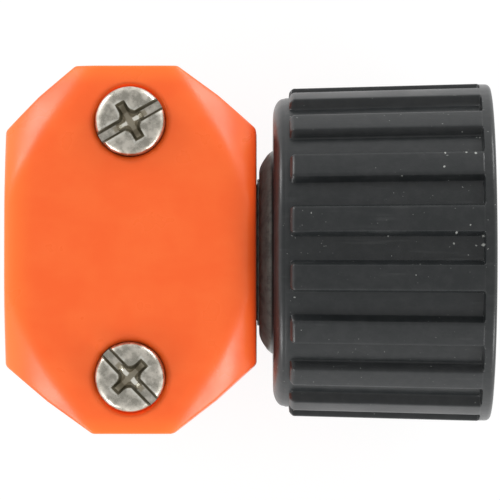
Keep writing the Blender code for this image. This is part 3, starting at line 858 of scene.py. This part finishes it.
# The nut's outline goes from its hole over the boss, the shoulder, the ribbed barrel, the collar and
# the rim, and back along the thread to the seat.
outline = [(0.00118, NUT_HOLE_RADIUS)]
for share in (0.0, 0.18, 0.38, 0.58, 0.78, 1.0):
    along = BOSS_FRONT_X + BOSS_FALL * share ** 1.75
    outline.append((along, BOSS_FRONT_RADIUS + BOSS_FALL_WIDTH * share))
for index in range(4):
    around = math.radians(138.75 - 8.75 * index)
    along = BOSS_MIDDLE_X + BOSS_HALF_LENGTH * math.cos(around)
    outline.append((along, BOSS_MIDDLE_RADIUS + BOSS_HALF_WIDTH * math.sin(around)))
outline += [(NUT_REAR_X, BOSS_FOOT_RADIUS), (NUT_REAR_X, SHOULDER_FOOT_RADIUS)]
for index in range(9):
    around = math.pi * (1 - index / 16)
    along = NUT_REAR_X - 0.00005 + SHOULDER_ROUND_LENGTH * (1 + math.cos(around))
    fall = SHOULDER_LINE_DEPTH + SHOULDER_ROUND_HEIGHT * (1 - math.sin(around))
    outline.append((along, SHOULDER_RADIUS - fall))
outline.append((SHOULDER_LINE_X, SHOULDER_RADIUS - SHOULDER_LINE_DEPTH))
outline.append((SHOULDER_LINE_X + SHOULDER_LINE_WIDTH, SHOULDER_RADIUS))
rows = plain_rows(outline)
rows.append((RIB_START_X - 0.00002, SHOULDER_RADIUS, 0.0, 0.0, 1.0))
for share in (0.05, 0.14, 0.26, 0.40, 0.60, 0.80, 1.0):
    rise = RIB_HEIGHT * (0.5 + 0.5 * math.sin(min(share / 0.7, 1.0) * math.pi / 2))
    end = 1.0 - math.sqrt(1 - max(1 - share / 0.5, 0.0) ** 2)
    rows.append((RIB_START_X + RIB_NOSE_LENGTH * share, SHOULDER_RADIUS, rise, 0.0, end))
barrel_start_x = RIB_START_X + RIB_NOSE_LENGTH
barrel_end_radius = SHOULDER_RADIUS + BARREL_TAPER
for share in (0.05, 0.2, 0.4, 0.6, 0.8, 0.95, 1.0):
    along = barrel_start_x + (COLLAR_START_X - barrel_start_x) * share
    rows.append((along, SHOULDER_RADIUS + BARREL_TAPER * share, RIB_HEIGHT, 0.0, 0.0))
for share, climb in ((0.2, 0.06), (0.45, 0.4), (0.65, 0.75), (0.85, 0.95), (1.0, 1.0)):
    along = COLLAR_START_X + COLLAR_STEP_LENGTH * share
    radius = barrel_end_radius + (COLLAR_RADIUS - barrel_end_radius) * climb
    rows.append((along, radius, RIB_HEIGHT * (1 - climb), 0.0, 0.0))
rim = rounded([
    (COLLAR_START_X + COLLAR_STEP_LENGTH, COLLAR_RADIUS, 0.0),
    (nut_rim, COLLAR_RADIUS, RIM_ROUND),
    (nut_rim, MOUTH_RADIUS, 0.00012),
    (nut_rim - MOUTH_CHAMFER_LENGTH, NUT_BORE_RADIUS, 0.0),
])
rows += plain_rows(rim[1:-1])
rows += thread_rows(
    front=HOSE_THREAD_FRONT_X, rear=HOSE_THREAD_REAR_X, front_fade=0.0006, rear_fade=0.0008,
    count=62, radius=NUT_BORE_RADIUS, depth=HOSE_THREAD_DEPTH,
)
rows += plain_rows([(NUT_SEAT_X, NUT_BORE_RADIUS), (NUT_SEAT_X, NUT_HOLE_RADIUS)])
rows.append(rows[0])

# Half a rib and half a gap, in degrees from the rib's middle, with the share of its height there.
# A rib's rounded nose is narrower than the rest of it.
HALF_PITCH = 180.0 / RIBS
RIB_FOOT = 5.8
NOSE_WIDTH = 0.78
half_sector = [
    (HALF_PITCH, 0.0), (9.0, 0.0), (7.6, 0.0), (6.6, 0.0), (RIB_FOOT, 0.0), (5.62, 0.05), (5.4, 0.2),
    (5.05, 0.45), (4.7, 0.7), (4.48, 0.86), (4.3, 0.95), (4.05, 0.99), (3.3, 1.0), (1.7, 1.0),
]
gap_stretch = (HALF_PITCH - RIB_FOOT * NOSE_WIDTH) / (HALF_PITCH - RIB_FOOT)
sector = []
for side, offsets in ((-1, half_sector), (1, [(0.0, 1.0)] + half_sector[:0:-1])):
    for offset, share in offsets:
        at_nose = offset * NOSE_WIDTH
        if offset > RIB_FOOT:
            at_nose = HALF_PITCH - (HALF_PITCH - offset) * gap_stretch
        turn, end_turn = (0.5 + side * place / HALF_PITCH / 2 for place in (offset, at_nose))
        sector.append((turn, end_turn, share))

# Specks of dust by their places in X and Y, with their sizes and strengths.
nut_specks = [
    (0.01987, 0.00974, 0.00013, 0.8),
    (0.02200, 0.00982, 0.00012, 0.7),
    (0.02295, 0.00974, 0.00015, 0.8),
    (0.01975, 0.00830, 0.00013, 0.8),
    (0.01545, 0.00735, 0.00010, 0.5),
    (0.02350, 0.01140, 0.00010, 0.5),
    (0.02170, 0.01200, 0.00010, 0.5),
    (0.01400, 0.00122, 0.00010, 0.5),
    (0.02090, 0.00155, 0.00015, 0.8),
    (0.02065, 0.00050, 0.00013, 0.8),
    (0.02360, 0.00122, 0.00016, 0.8),
    (0.02290, 0.00027, 0.00012, 0.7),
    (0.02360, 0.00035, 0.00020, 1.0),
    (0.02230, 0.00233, 0.00013, 0.7),
]
nut_plastic = black_plastic_material("nut_plastic", nut_specks, 0.0, NUT_REAR_X - 0.0001)
nut = turned("swivel_nut_ribbed", rows, sector, RIBS, nut_plastic, HOSE_THREAD_PITCH, 40.0)
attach(nut, "swivel")
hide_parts("swivel_nut")


# Hose washer
# A flat ring of matt black rubber, stamped out of sheet and pressed into the nut. It seals the tap's
# end against the stem's flange.
washer_low, washer_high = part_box("hose_washer")
WASHER_HOLE_RADIUS, WASHER_RADIUS = 0.0080, 0.0123

rubber, nodes, shader, place = new_material("washer_rubber", 1.5)
bloom = nodes.noise(place, 700.0, 4.0, 0.6)
pores = nodes.noise(place, 6000.0, 2.0)
feed(nodes, shader, {
    "Base Color": nodes.mix(nodes.step(bloom, 0.35, 0.7), colour(28, 28, 28), colour(48, 48, 47)),
    "Roughness": 0.62 + nodes.step(bloom, 0.3, 0.7) * 0.2,
    "Normal": nodes.bump(0.5, 0.00003, pores + bloom),
})
washer_rows = plain_rows(rounded([
    (washer_low.x, WASHER_HOLE_RADIUS, 0.0002),
    (washer_low.x, WASHER_RADIUS, 0.0003),
    (washer_high.x, WASHER_RADIUS, 0.0003),
    (washer_high.x, WASHER_HOLE_RADIUS, 0.0002),
]))
washer = turned("washer", washer_rows + washer_rows[:1], plain_sector(8), 12, rubber)
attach(washer, "swivel")
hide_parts("hose_washer")


# Clamp screws
# Zinc-plated No. 6 machine screws with pan heads, cold headed and thread rolled, with a slot and
# a cross recess. They pull the two halves together. Dirt and painted shade sit in their recesses,
# with painted glints in the cross and a painted highlight along the recess edges.
head_seat = SPOT_FACE_Z + 0.0003
HEAD_RADIUS = 0.00355
HEAD_HEIGHT = 0.0024
HEAD_CROWN = 0.00012
SCREW_RADIUS = 0.00175
SCREW_THREAD_PITCH = 0.00079375
SCREW_THREAD_DEPTH = 0.0004
PLAIN_SHANK_LENGTH = 0.0004
SCREW_TIP_LENGTH = 0.0006
SCREW_TIP_RADIUS = 0.0012
SLOT_WIDTH = 0.00136
SLOT_FLOOR_WIDTH = 0.0008
SLOT_DEPTH = 0.0010
CROSS_SPAN = 0.0043
CROSS_ARM = 0.0011
CROSS_DEPTH = 0.0016
CROSS_TIP_ROUND = 0.00026
CROSS_ROOT_ROUND = 0.00080
SLOT_ANGLES = {"upper": math.radians(30.0), "lower": math.radians(-46.0)}
screw_length = head_seat - screw_low.z

steel, nodes, shader, place = new_material("plated_steel", 1.5)
x, y, z = nodes.split(place)
side_of_y = y.maths("SIGN")


def on_each_side(upper, lower):
    """One number on the upper screw and another on the lower one."""
    return side_of_y * ((upper - lower) / 2) + (upper + lower) / 2


cosine = on_each_side(*(math.cos(turn) for turn in SLOT_ANGLES.values()))
sine = on_each_side(*(math.sin(turn) for turn in SLOT_ANGLES.values()))
from_x = x - clamp_middle
from_y = y - side_of_y * screw_y
along_slot = abs(from_x * cosine + from_y * sine)
across_slot = abs(from_y * cosine - from_x * sine)
in_slot = across_slot - SLOT_WIDTH / 2
first_arm = (along_slot - CROSS_ARM / 2).maths("MAXIMUM", across_slot - CROSS_SPAN / 2)
second_arm = (across_slot - CROSS_ARM / 2).maths("MAXIMUM", along_slot - CROSS_SPAN / 2)
root = CROSS_ARM / 2 + CROSS_ROOT_ROUND
from_root = ((root - along_slot) ** 2 + (root - across_slot) ** 2) ** 0.5
root_edge = (along_slot - root).maths("MAXIMUM", across_slot - root)
root_edge = root_edge.maths("MAXIMUM", CROSS_ROOT_ROUND - from_root)
in_cross = first_arm.maths("MINIMUM", second_arm).maths("MINIMUM", root_edge)
in_recess = in_slot.maths("MINIMUM", in_cross)
blotch = nodes.noise(place, 900.0, 4.0, 0.6)
pitting = nodes.noise(place, 4200.0, 3.0, 0.6)
near_top = nodes.step(z, head_seat + 0.0004, head_seat + 0.0007)
# Recess walls are painted dark olive: partly dirt, partly painted shade where little light reaches them.
wall = nodes.step(in_recess, -0.00036, -0.00024) * (1.0 - nodes.step(in_recess, -0.00005, 0.00001))
cavity = 1.0 - nodes.step(in_cross, -0.00034, -0.00020)
wall_dirt_and_shade = (wall * (0.55 + blotch * 0.8) * near_top).maths("MINIMUM", 1.0)
floor_dirt = cavity * (0.25 + blotch * 0.8) * near_top
# Painted glints: two bright, shiny patches painted along the slot in the cross recess, for reflections
# there.
painted_glint = 1.0 - nodes.step(abs(along_slot - 0.00080) + (blotch - 0.5) * 0.0006, 0.00042, 0.00056)
painted_glint = painted_glint * (1.0 - nodes.step(across_slot + (blotch - 0.5) * 0.0004, 0.00016, 0.00026))
painted_glint = painted_glint * (1.0 - nodes.step(z, head_seat + 0.0012, head_seat + 0.0014))
screw_dirt_and_shade = wall_dirt_and_shade.maths("MAXIMUM", floor_dirt) * (1.0 - painted_glint)
# Painted highlight: a lighter ring of metal painted along the recess edges, for light caught on them.
painted_edge_highlight = nodes.step(in_recess, -0.00003, 0.00002) * (1.0 - nodes.step(in_recess, 0.00010, 0.00030))
painted_edge_highlight = painted_edge_highlight * nodes.step(blotch, 0.35, 0.60) * nodes.step(z, head_seat + 0.0015, head_seat + 0.0018)
metal = nodes.mix(nodes.step(blotch, 0.38, 0.66), colour(170, 166, 155), colour(219, 213, 201))
metal = nodes.mix(nodes.step(pitting, 0.60, 0.72) * 0.4, metal, colour(120, 118, 106))
metal = nodes.mix(painted_edge_highlight * 0.8, metal, colour(236, 234, 224))
metal = nodes.mix(floor_dirt, metal, colour(172, 161, 136))
metal = nodes.mix(wall_dirt_and_shade, metal, colour(86, 79, 59))
metal = nodes.mix(painted_glint, metal, colour(255, 252, 240))
feed(nodes, shader, {
    "Base Color": metal,
    "Metallic": 1.0 - screw_dirt_and_shade * 0.5,
    "Roughness": 0.24 + nodes.step(blotch, 0.3, 0.7) * 0.12 + screw_dirt_and_shade * 0.3 - painted_glint * 0.12,
    "Normal": nodes.bump(0.5, 0.00003, pitting + blotch * 2.0),
})


def punch(name, outline, levels):
    """A closed tool: an outline that is scaled in X and Y at each level of Z."""
    shape = bmesh.new()
    rings = []
    for level, scale_x, scale_y in levels:
        rings.append([shape.verts.new((x * scale_x, y * scale_y, level)) for x, y in outline])
    shape.faces.new(rings[0])
    shape.faces.new(rings[-1])
    join_rings(shape, rings)
    bmesh.ops.recalc_face_normals(shape, faces=shape.faces)
    return mesh_of(shape, name)


def cross_outline():
    """Points round the cross: arms with rounded tips, and rounded roots between them."""
    tip = CROSS_SPAN / 2 - CROSS_TIP_ROUND
    tip_side = CROSS_ARM / 2 - CROSS_TIP_ROUND
    root = CROSS_ARM / 2 + CROSS_ROOT_ROUND
    quarter = []
    for centre, radius, first, turn, count in (
        ((tip, -tip_side), CROSS_TIP_ROUND, -90.0, 22.5, 5),
        ((tip, tip_side), CROSS_TIP_ROUND, 0.0, 22.5, 5),
        ((root, root), CROSS_ROOT_ROUND, 270.0, -18.0, 6),
    ):
        for step in range(count):
            angle = math.radians(first + turn * step)
            x, y = centre[0] + radius * math.cos(angle), centre[1] + radius * math.sin(angle)
            quarter.append((x, y))
    outline = []
    for cosine, sine in ((1, 0), (0, 1), (-1, 0), (0, -1)):
        outline.extend((x * cosine - y * sine, x * sine + y * cosine) for x, y in quarter)
    return outline


def recess_tools(turn):
    """The punches for the slot and the tapered cross, turned to the screw's own angle."""
    reach, half = 2 * HEAD_RADIUS, SLOT_WIDTH / 2
    slot = punch("slot_tool", [(-reach, -half), (reach, -half), (reach, half), (-reach, half)], [
        (HEAD_HEIGHT - SLOT_DEPTH, 1.0, SLOT_FLOOR_WIDTH / SLOT_WIDTH),
        (HEAD_HEIGHT + HEAD_CROWN, 1.0, 1.0),
    ])
    cross = punch("cross_tool", cross_outline(), [
        (HEAD_HEIGHT - CROSS_DEPTH, 0.45, 0.45),
        (HEAD_HEIGHT - CROSS_DEPTH * 0.8, 0.62, 0.62),
        (HEAD_HEIGHT, 1.0, 1.0),
        (HEAD_HEIGHT + 0.001, 1.24, 1.24),
    ])
    for tool in (slot, cross):
        tool.transform(Matrix.Rotation(turn, 4, "Z"))
    return slot, cross


head_outline = [
    (HEAD_HEIGHT + HEAD_CROWN, 0.0),
    (HEAD_HEIGHT + HEAD_CROWN * 0.75, 0.0011),
    (HEAD_HEIGHT, 0.0022),
    (HEAD_HEIGHT - 0.00008, 0.00270),
    (HEAD_HEIGHT - 0.00017, 0.00300),
    (HEAD_HEIGHT - 0.00031, 0.00326),
    (HEAD_HEIGHT - 0.00048, 0.00343),
    (HEAD_HEIGHT - 0.00072, 0.00352),
    (HEAD_HEIGHT - 0.00120, HEAD_RADIUS),
    (0.0003, HEAD_RADIUS),
    (0.0, HEAD_RADIUS - 0.0002),
    (0.0, SCREW_RADIUS - 0.0001),
]
screw_rows = plain_rows(head_outline)
screw_rows += thread_rows(
    front=-PLAIN_SHANK_LENGTH, rear=SCREW_TIP_LENGTH - screw_length, front_fade=0.0006,
    rear_fade=0.0004, count=200, radius=SCREW_RADIUS, depth=-SCREW_THREAD_DEPTH,
)
screw_rows += plain_rows([(-screw_length, SCREW_TIP_RADIUS), (-screw_length, 0.0)])
for side, y_side in (("upper", 1), ("lower", -1)):
    name = side + "_clamp_screw"
    screw = turned(name, screw_rows, plain_sector(6), 12, steel, SCREW_THREAD_PITCH, 35.0)
    screw.data.transform(Matrix.Rotation(-math.pi / 2, 4, "Y"))
    for tool in recess_tools(SLOT_ANGLES[side]):
        cut_away(screw, tool)
    screw.data.transform(Matrix.Translation((clamp_middle, y_side * screw_y, head_seat)))
    paint(screw, steel)
    smooth(screw, 35.0)
    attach(screw, side + "_screw")
    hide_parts(side + "_screw")


# Square nuts
# Pressed steel square nuts, zinc plated, that the screws draw up. The rear half's pockets keep them
# from turning.
nut_low, nut_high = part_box("upper_square_nut")
nut_size = nut_high - nut_low
NUT_CORNER = 0.0004
NUT_EDGE_ROUND = 0.00015
NUT_HOLE_FLARE = 0.0003
nut_hole = [
    (nut_low.z - NUT_HOLE_FLARE, SCREW_HOLE_RADIUS + 2 * NUT_HOLE_FLARE),
    (nut_low.z + NUT_HOLE_FLARE, SCREW_HOLE_RADIUS),
    (nut_high.z - NUT_HOLE_FLARE, SCREW_HOLE_RADIUS),
    (nut_high.z + NUT_HOLE_FLARE, SCREW_HOLE_RADIUS + 2 * NUT_HOLE_FLARE),
]
for side, y_side in (("upper", 1), ("lower", -1)):
    name = side + "_pressed_nut"
    middle = (clamp_middle, y_side * screw_y)
    shape = bmesh.new()
    bmesh.ops.create_cube(shape, size=1.0)
    bmesh.ops.scale(shape, vec=nut_size, verts=shape.verts)
    upright = [edge for edge in shape.edges if edge.verts[0].co.z * edge.verts[1].co.z < 0.0]
    bmesh.ops.bevel(
        shape, geom=upright, offset=NUT_CORNER, segments=3, profile=0.5, affect="EDGES"
    )
    bmesh.ops.translate(shape, verts=shape.verts, vec=(*middle, (nut_low.z + nut_high.z) / 2))
    pressed = put_in_scene(name, mesh_of(shape, name))
    shape = bmesh.new()
    round_bar(shape, nut_hole, middle, False, 48)
    bmesh.ops.recalc_face_normals(shape, faces=shape.faces)
    cut_away(pressed, mesh_of(shape, "nut_hole"))
    bevel = pressed.modifiers.new("edges", "BEVEL")
    bevel.width = NUT_EDGE_ROUND
    bevel.segments = 2
    bevel.limit_method = "ANGLE"
    bevel.angle_limit = math.radians(60.0)
    plain_copy(pressed)
    paint(pressed, steel)
    smooth(pressed, 35.0)
    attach(pressed, "base")
    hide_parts(side + "_square_nut")


# Floor, light and camera
# A plain white floor just under the mender, soft lamps low all round it, and a long lens that
# looks straight down.
FLOOR_GAP = 0.0001
FLOOR_REACH = 3.0
LAMP_DISTANCE = 0.6
LAMP_ELEVATION = math.radians(10.0)
CAMERA_DISTANCE = 0.50
CAMERA_LEAN = math.radians(1.5)
CAMERA_AIM = Vector((0.00005, 0.00025, 0.0))


def grey(level):
    """A plain grey of a linear level."""
    return (level, level, level, 1.0)


def camera_sees(nodes):
    """1 on the rays that show a thing, straight, mirrored or through glass, and 0 on the rest."""
    straight, mirrored, through = (
        nodes.add("ShaderNodeLightPath", {}, {}, output=ray)
        for ray in ("Is Camera Ray", "Is Glossy Ray", "Is Transmission Ray")
    )
    return straight.maths("MAXIMUM", mirrored).maths("MAXIMUM", through)


shape = bmesh.new()
bmesh.ops.create_grid(shape, x_segments=1, y_segments=1, size=FLOOR_REACH)
bmesh.ops.translate(shape, verts=shape.verts, vec=(0.0, 0.0, cad_box[0].z - FLOOR_GAP))
floor = put_in_scene("floor", mesh_of(shape, "floor"))
white = bpy.data.materials.new("white_floor")
white.use_nodes = True
nodes = Nodes(white.node_tree)
white.node_tree.nodes.remove(white.node_tree.nodes["Principled BSDF"])
card = nodes.add("ShaderNodeBsdfDiffuse", {}, {"Color": grey(0.80)})
card_seen = nodes.add("ShaderNodeBsdfDiffuse", {}, {"Color": grey(0.18)})
glow = nodes.add("ShaderNodeEmission", {}, {"Color": grey(1.0), "Strength": 0.87})
card_seen = nodes.add("ShaderNodeAddShader", {}, {0: card_seen, 1: glow})
surface = nodes.add("ShaderNodeMixShader", {}, {0: camera_sees(nodes), 1: card, 2: card_seen})
white.node_tree.links.new(surface.socket, white.node_tree.nodes["Material Output"].inputs["Surface"])
floor.data.materials.append(white)

world = bpy.data.worlds.new("studio")
bpy.context.scene.world = world
world.use_nodes = True
nodes = Nodes(world.node_tree)
direction = nodes.add("ShaderNodeTexCoord", {}, {}, output="Generated")
sideways, _, height = nodes.split(direction)
overhead = nodes.step(height, 0.15, 0.85)
sideways = nodes.step(abs(sideways), 0.35, 0.95)
horizon = nodes.mix(sideways, grey(1.0), grey(1.45))
light = nodes.mix(overhead, horizon, grey(0.66))
tent = nodes.mix(overhead, horizon, grey(0.60))
light = nodes.add("ShaderNodeBackground", {}, {"Color": light, "Strength": 1.04})
tent = nodes.add("ShaderNodeBackground", {}, {"Color": tent, "Strength": 1.0})
sky = nodes.add("ShaderNodeMixShader", {}, {0: camera_sees(nodes), 1: light, 2: tent})
world.node_tree.links.new(sky.socket, world.node_tree.nodes["World Output"].inputs["Surface"])

for azimuth, power in ((139, 0.95), (232, 0.95), (52, 0.95), (316, 1.05)):
    lamp = bpy.data.lights.new("softbox", "AREA")
    lamp.shape = "RECTANGLE"
    lamp.size = 0.20
    lamp.size_y = 0.18
    lamp.energy = power
    turn, flat = math.radians(azimuth), math.cos(LAMP_ELEVATION)
    direction = Vector((math.cos(turn) * flat, math.sin(turn) * flat, math.sin(LAMP_ELEVATION)))
    holder = put_in_scene("softbox", lamp)
    holder.location = direction * LAMP_DISTANCE
    holder.rotation_euler = direction.to_track_quat("Z", "Y").to_euler()

camera = bpy.data.cameras.new("camera")
camera.lens = 344.6
camera.sensor_width = 36.0
camera.clip_end = 10.0
camera_holder = put_in_scene("camera", camera)
camera_holder.rotation_euler = (CAMERA_LEAN, 0.0, 0.0)
to_camera = Vector((0.0, -math.sin(CAMERA_LEAN), math.cos(CAMERA_LEAN)))
camera_holder.location = CAMERA_AIM + CAMERA_DISTANCE * to_camera
bpy.context.scene.camera = camera_holder
bpy.context.scene.view_settings.view_transform = "Standard"
